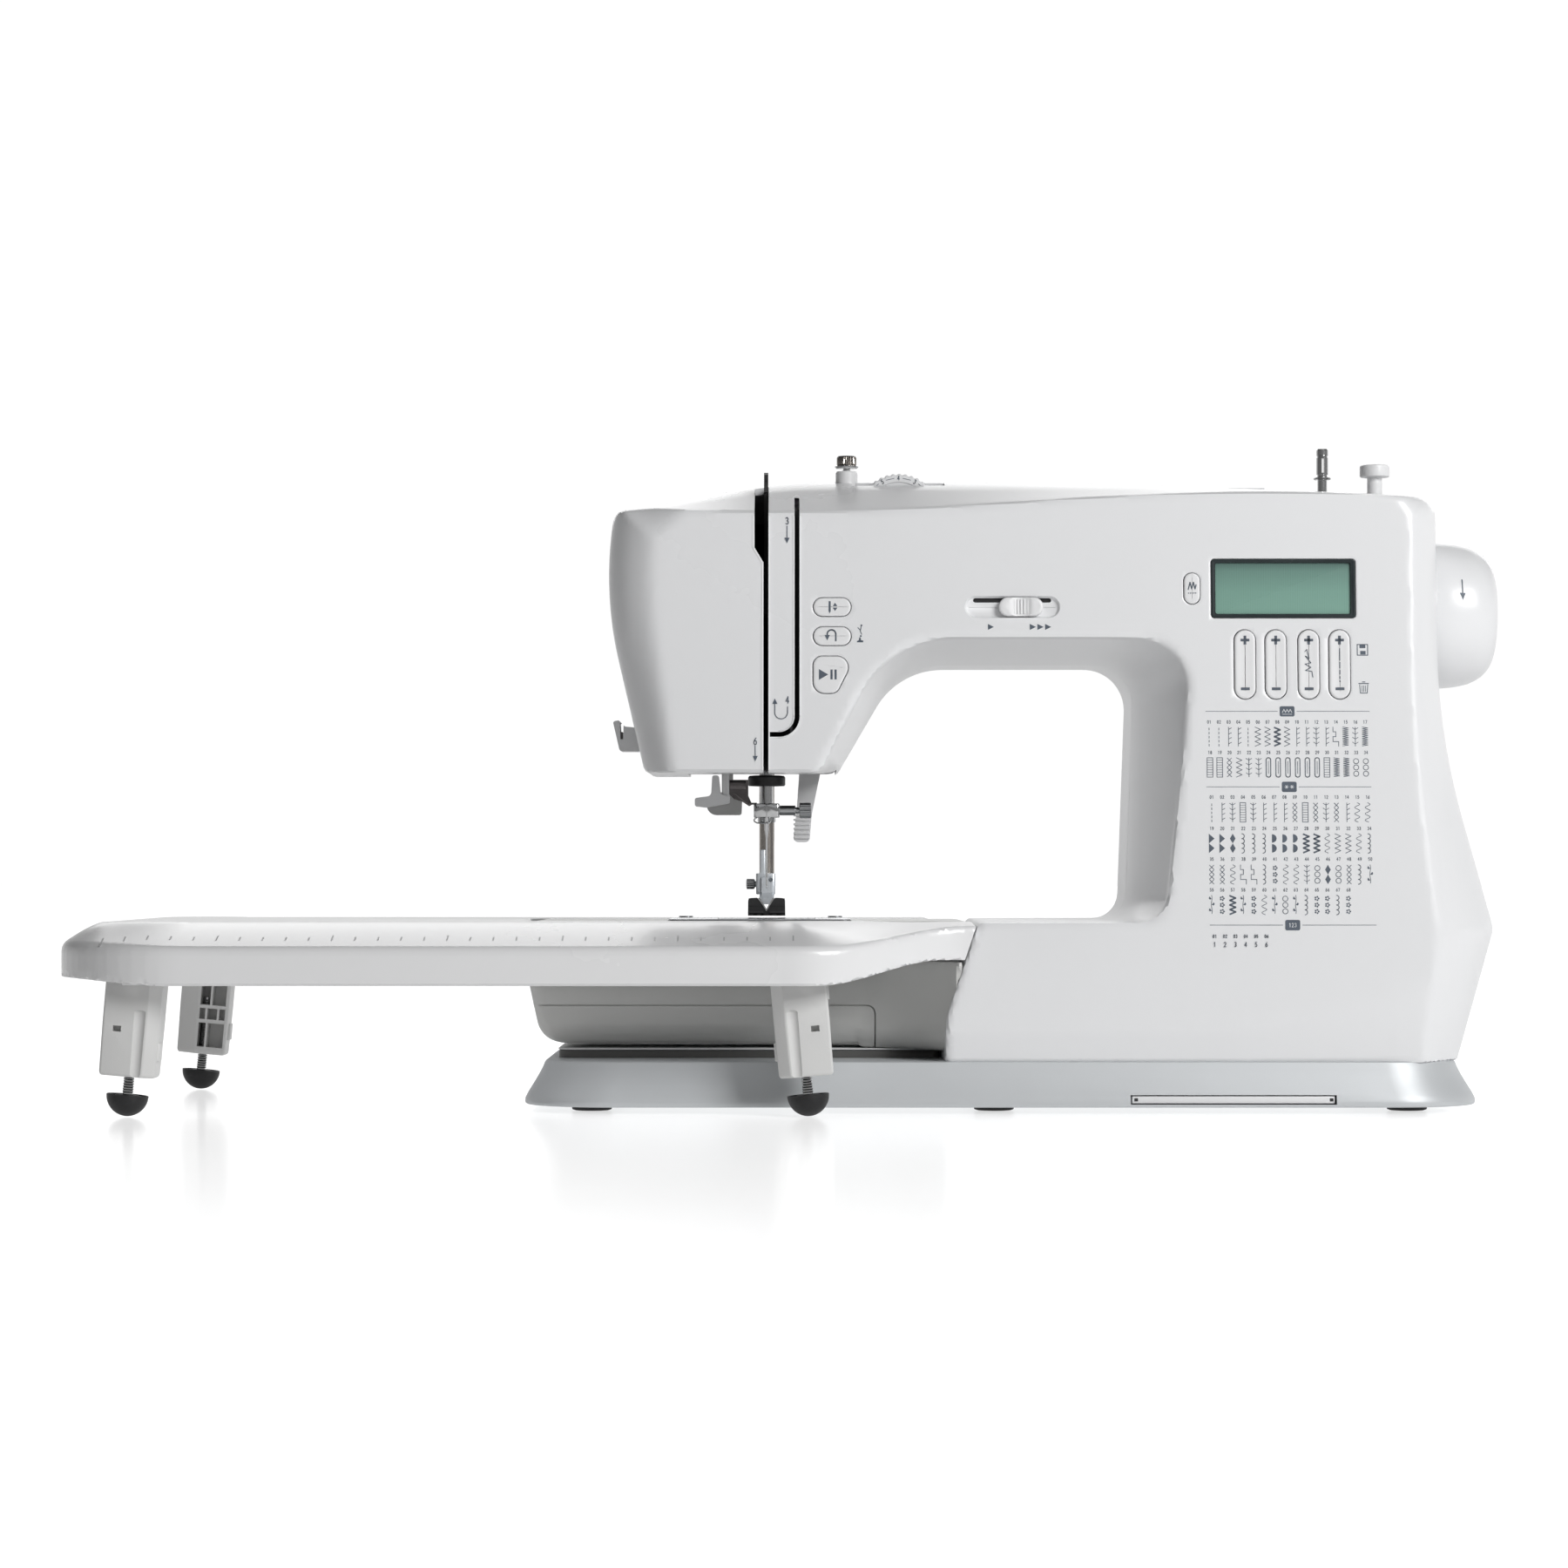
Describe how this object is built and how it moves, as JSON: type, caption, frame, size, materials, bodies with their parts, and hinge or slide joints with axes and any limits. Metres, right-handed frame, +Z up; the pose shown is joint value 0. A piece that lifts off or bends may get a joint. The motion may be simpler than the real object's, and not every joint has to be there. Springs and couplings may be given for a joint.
{
  "type": "sewing machine",
  "caption": "Computerised free-arm sewing machine with a display, keys, handwheel and a white extension table on folding legs.",
  "frame": {"origin": "middle of the overall box, on the surface the machine stands on", "axes": "+X towards the handwheel, +Y towards the back, +Z up"},
  "size_m": [0.6468, 0.32, 0.3006],
  "materials": {
    "casing": "glossy white moulding",
    "base_plastic": "satin grey",
    "table_plastic": "glossy white moulding",
    "key_plastic": "satin white",
    "black_plastic": "matt black",
    "rubber": "matt black",
    "belt": "matt black",
    "steel": "brushed",
    "chrome": "polished",
    "frame_metal": "as cast",
    "motor_metal": "painted",
    "glass": "clear",
    "board": "satin",
    "clear_plastic": "clear"
  },
  "bodies": {
    "machine": {"base": "base_plastic", "base_feet": "rubber", "chassis": "frame_metal", "front_cover": "casing", "rear_cover": "casing", "face_cover": "casing", "tension_unit": "black_plastic", "free_arm_cover": "casing", "needle_plate": "steel", "lcd_window": "glass", "display_board": "board", "drive_belts": "belt", "motors": "motor_metal", "winder_tension": "chrome", "thread_cutter": "steel", "spool_pin": "key_plastic", "bobbin_stopper": "key_plastic", "casing_screws": "chrome"},
    "main_shaft": {"main_shaft": "steel", "handwheel": "casing"},
    "lower_shaft": {"lower_shaft": "steel"},
    "motor_pulley": {"motor_pulley": "steel"},
    "hook": {"rotary_hook": "steel"},
    "bobbin": {"bobbin": "clear_plastic"},
    "needle_frame": {"needle_bar_frame": "frame_metal"},
    "needle_bar": {"needle_bar": "chrome", "needle_clamp": "chrome", "needle": "chrome"},
    "take_up": {"take_up_lever": "black_plastic"},
    "lifter": {"presser_lifter": "key_plastic"},
    "presser_bar": {"presser_bar": "steel", "foot_holder": "chrome"},
    "presser_foot": {"presser_foot": "black_plastic"},
    "threader": {"needle_threader": "key_plastic"},
    "buttonhole_lever": {"buttonhole_lever": "key_plastic"},
    "tension_dial": {"tension_dial": "casing"},
    "winder": {"winder_spindle": "chrome"},
    "feed_dog": {"feed_dog": "steel"},
    "bobbin_cover": {"bobbin_cover": "clear_plastic"},
    "needle_button": {"needle_button": "key_plastic"},
    "reverse_button": {"reverse_button": "key_plastic"},
    "start_button": {"start_button": "key_plastic"},
    "mode_button": {"mode_button": "key_plastic"},
    "key_1": {"key_1": "key_plastic"},
    "key_2": {"key_2": "key_plastic"},
    "key_3": {"key_3": "key_plastic"},
    "key_4": {"key_4": "key_plastic"},
    "speed_slider": {"speed_slider": "key_plastic"},
    "power_switch": {"power_switch": "black_plastic"},
    "carry_handle": {"carry_handle": "casing"},
    "table": {"extension_table": "table_plastic"},
    "leg_1": {"leg_1": "table_plastic"},
    "leg_foot_1": {"leg_foot_1": "rubber"},
    "leg_2": {"leg_2": "table_plastic"},
    "leg_foot_2": {"leg_foot_2": "rubber"},
    "leg_3": {"leg_3": "table_plastic"},
    "leg_foot_3": {"leg_foot_3": "rubber"},
    "leg_4": {"leg_4": "table_plastic"},
    "leg_foot_4": {"leg_foot_4": "rubber"},
    "reference_tray": {"reference_tray": "table_plastic"}
  },
  "joints": [
    {"name": "handwheel_turn", "type": "hinge", "parent": "machine", "child": "main_shaft", "pos_m": [0.29, -0.015, 0.225], "axis": [1, 0, 0], "continuous": true},
    {"name": "lower_shaft_turn", "type": "hinge", "parent": "machine", "child": "lower_shaft", "pos_m": [0.2, -0.015, 0.047], "axis": [1, 0, 0], "continuous": true},
    {"name": "motor_turn", "type": "hinge", "parent": "machine", "child": "motor_pulley", "pos_m": [0.283, 0.038, 0.095], "axis": [1, 0, 0], "continuous": true},
    {"name": "hook_turn", "type": "hinge", "parent": "machine", "child": "hook", "pos_m": [-0.012, -0.0375, 0.07], "axis": [0, 0, 1], "continuous": true},
    {"name": "bobbin_turn", "type": "hinge", "parent": "machine", "child": "bobbin", "pos_m": [-0.012, -0.0375, 0.07], "axis": [0, 0, 1], "continuous": true},
    {"name": "needle_swing", "type": "hinge", "parent": "machine", "child": "needle_frame", "pos_m": [-0.028, -0.015, 0.262], "axis": [0, 1, 0], "range_deg": [-1.05, 1.05]},
    {"name": "needle_stroke", "type": "slide", "parent": "needle_frame", "child": "needle_bar", "axis": [0, 0, 1], "range_m": [-0.031, 0]},
    {"name": "take_up_swing", "type": "hinge", "parent": "machine", "child": "take_up", "pos_m": [-0.012, -0.04, 0.228], "axis": [1, 0, 0], "range_deg": [0, 50]},
    {"name": "lifter_swing", "type": "hinge", "parent": "machine", "child": "lifter", "pos_m": [0.009, 0.023, 0.162], "axis": [0, -1, 0], "range_deg": [0, 60]},
    {"name": "presser_lift", "type": "slide", "parent": "machine", "child": "presser_bar", "axis": [0, 0, 1], "range_m": [0, 0.007]},
    {"name": "foot_tilt", "type": "hinge", "parent": "presser_bar", "child": "presser_foot", "pos_m": [-0.012, -0.009, 0.0928], "axis": [1, 0, 0], "range_deg": [-2.5, 2.5]},
    {"name": "threader_slide", "type": "slide", "parent": "machine", "child": "threader", "axis": [0, 0, 1], "range_m": [-0.034, 0]},
    {"name": "buttonhole_slide", "type": "slide", "parent": "machine", "child": "buttonhole_lever", "axis": [0, 0, 1], "range_m": [-0.038, 0]},
    {"name": "tension_turn", "type": "hinge", "parent": "machine", "child": "tension_dial", "pos_m": [0.048, -0.048, 0.2688], "axis": [0, 1, 0], "range_deg": [-150, 150]},
    {"name": "winder_engage", "type": "slide", "parent": "machine", "child": "winder", "axis": [1, 0, 0], "range_m": [0, 0.007]},
    {"name": "feed_move", "type": "slide", "parent": "machine", "child": "feed_dog", "axis": [0, 1, 0], "range_m": [-0.0025, 0.0025]},
    {"name": "bobbin_cover_lift", "type": "slide", "parent": "machine", "child": "bobbin_cover", "axis": [0, 0, 1], "range_m": [0, 0.012]},
    {"name": "needle_button_press", "type": "slide", "parent": "machine", "child": "needle_button", "axis": [0, 0.9961, -0.0882], "range_m": [0, 0.001], "stiffness_N_per_m": 600, "springref_m": -0.001},
    {"name": "reverse_button_press", "type": "slide", "parent": "machine", "child": "reverse_button", "axis": [0, 0.9961, -0.0882], "range_m": [0, 0.001], "stiffness_N_per_m": 600, "springref_m": -0.001},
    {"name": "start_button_press", "type": "slide", "parent": "machine", "child": "start_button", "axis": [0, 0.9961, -0.0882], "range_m": [0, 0.001], "stiffness_N_per_m": 600, "springref_m": -0.001},
    {"name": "mode_button_press", "type": "slide", "parent": "machine", "child": "mode_button", "axis": [0, 0.9961, -0.0882], "range_m": [0, 0.001], "stiffness_N_per_m": 600, "springref_m": -0.001},
    {"name": "key_1_rock", "type": "hinge", "parent": "machine", "child": "key_1", "pos_m": [0.2007, -0.09346, 0.19839], "axis": [1, 0, 0], "range_deg": [-3, 3], "stiffness_Nm_per_rad": 0.6},
    {"name": "key_2_rock", "type": "hinge", "parent": "machine", "child": "key_2", "pos_m": [0.2144, -0.09346, 0.19839], "axis": [1, 0, 0], "range_deg": [-3, 3], "stiffness_Nm_per_rad": 0.6},
    {"name": "key_3_rock", "type": "hinge", "parent": "machine", "child": "key_3", "pos_m": [0.229, -0.09346, 0.19839], "axis": [1, 0, 0], "range_deg": [-3, 3], "stiffness_Nm_per_rad": 0.6},
    {"name": "key_4_rock", "type": "hinge", "parent": "machine", "child": "key_4", "pos_m": [0.2427, -0.09346, 0.19839], "axis": [1, 0, 0], "range_deg": [-3, 3], "stiffness_Nm_per_rad": 0.6},
    {"name": "speed_slide", "type": "slide", "parent": "machine", "child": "speed_slider", "axis": [1, 0, 0], "range_m": [-0.014, 0.0065]},
    {"name": "power_rock", "type": "hinge", "parent": "machine", "child": "power_switch", "pos_m": [0.2912, 0.021, 0.056], "axis": [0, 1, 0], "range_deg": [-7, 7]},
    {"name": "handle_swing", "type": "hinge", "parent": "machine", "child": "carry_handle", "pos_m": [0.091, 0.056, 0.266], "axis": [1, 0, 0], "range_deg": [0, 170]},
    {"name": "table_slide", "type": "slide", "parent": "machine", "child": "table", "axis": [1, 0, 0], "range_m": [-0.2, 0]},
    {"name": "leg_1_fold", "type": "hinge", "parent": "table", "child": "leg_1", "pos_m": [-0.286, -0.132, 0.061], "axis": [0, -1, 0], "range_deg": [0, 80]},
    {"name": "leg_foot_1_screw", "type": "slide", "parent": "leg_1", "child": "leg_foot_1", "axis": [0.0872, 0, 0.9962], "range_m": [0, 0.007]},
    {"name": "leg_2_fold", "type": "hinge", "parent": "table", "child": "leg_2", "pos_m": [-0.286, 0.118, 0.061], "axis": [0, -1, 0], "range_deg": [0, 80]},
    {"name": "leg_foot_2_screw", "type": "slide", "parent": "leg_2", "child": "leg_foot_2", "axis": [0.0872, 0, 0.9962], "range_m": [0, 0.007]},
    {"name": "leg_3_fold", "type": "hinge", "parent": "table", "child": "leg_3", "pos_m": [0.002, -0.132, 0.061], "axis": [0, 1, 0], "range_deg": [0, 80]},
    {"name": "leg_foot_3_screw", "type": "slide", "parent": "leg_3", "child": "leg_foot_3", "axis": [-0.0872, 0, 0.9962], "range_m": [0, 0.007]},
    {"name": "leg_4_fold", "type": "hinge", "parent": "table", "child": "leg_4", "pos_m": [0.002, 0.118, 0.061], "axis": [0, 1, 0], "range_deg": [0, 80]},
    {"name": "leg_foot_4_screw", "type": "slide", "parent": "leg_4", "child": "leg_foot_4", "axis": [-0.0872, 0, 0.9962], "range_m": [0, 0.007]},
    {"name": "tray_slide", "type": "slide", "parent": "machine", "child": "reference_tray", "axis": [0, -1, 0], "range_m": [0, 0.08]}
  ],
  "couplings": [
    {"joint": "lower_shaft_turn", "follows": "handwheel_turn", "ratio": 1},
    {"joint": "motor_turn", "follows": "handwheel_turn", "ratio": 4.3333},
    {"joint": "hook_turn", "follows": "handwheel_turn", "ratio": 2},
    {"joint": "lifter_swing", "follows": "presser_lift", "rad_per_m": 149.5}
  ]
}
